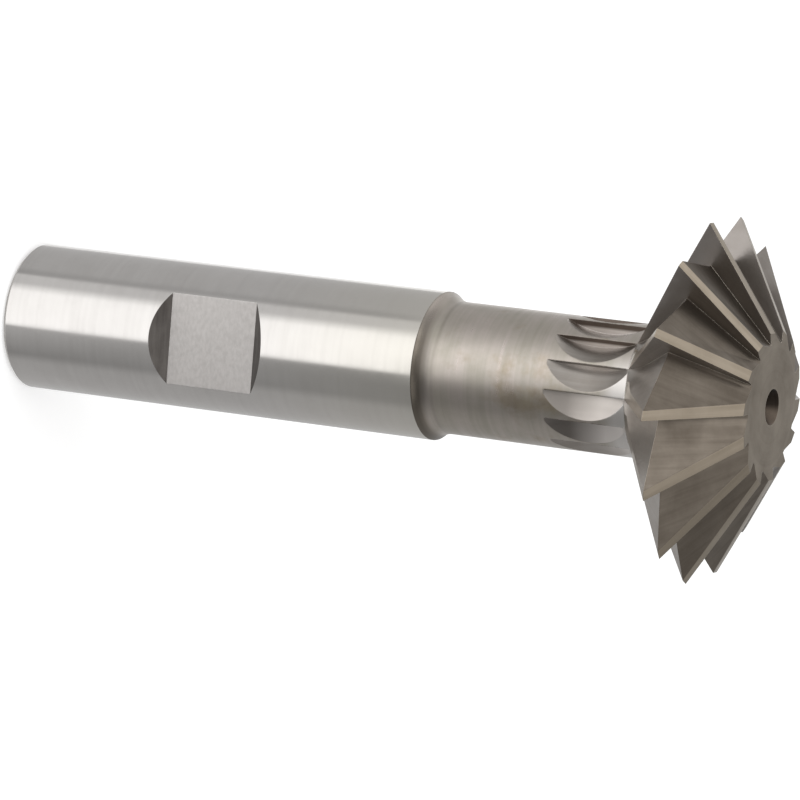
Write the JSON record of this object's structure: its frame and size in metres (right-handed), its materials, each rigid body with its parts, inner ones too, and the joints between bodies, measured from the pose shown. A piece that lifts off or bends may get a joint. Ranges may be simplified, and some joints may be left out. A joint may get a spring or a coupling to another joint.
{
  "type": "double-angle cutter",
  "caption": "Shank-type double-angle milling cutter: toothed head of two equal cones on a relieved neck, with a flat on its round shank for a set screw.",
  "frame": {"origin": "centre of the shank's end face, at the bottom of the part", "axes": "+Z along the cutter's axis from the shank end to the toothed head, -Y out of the driving flat"},
  "size_m": [0.038, 0.0384, 0.087],
  "materials": {
    "tool_steel": "ground high-speed steel, bright on the shank, matt on the flat, warm grey on the neck and the teeth"
  },
  "bodies": {
    "root": {"double_angle_cutter": "tool_steel"}
  },
  "joints": []
}
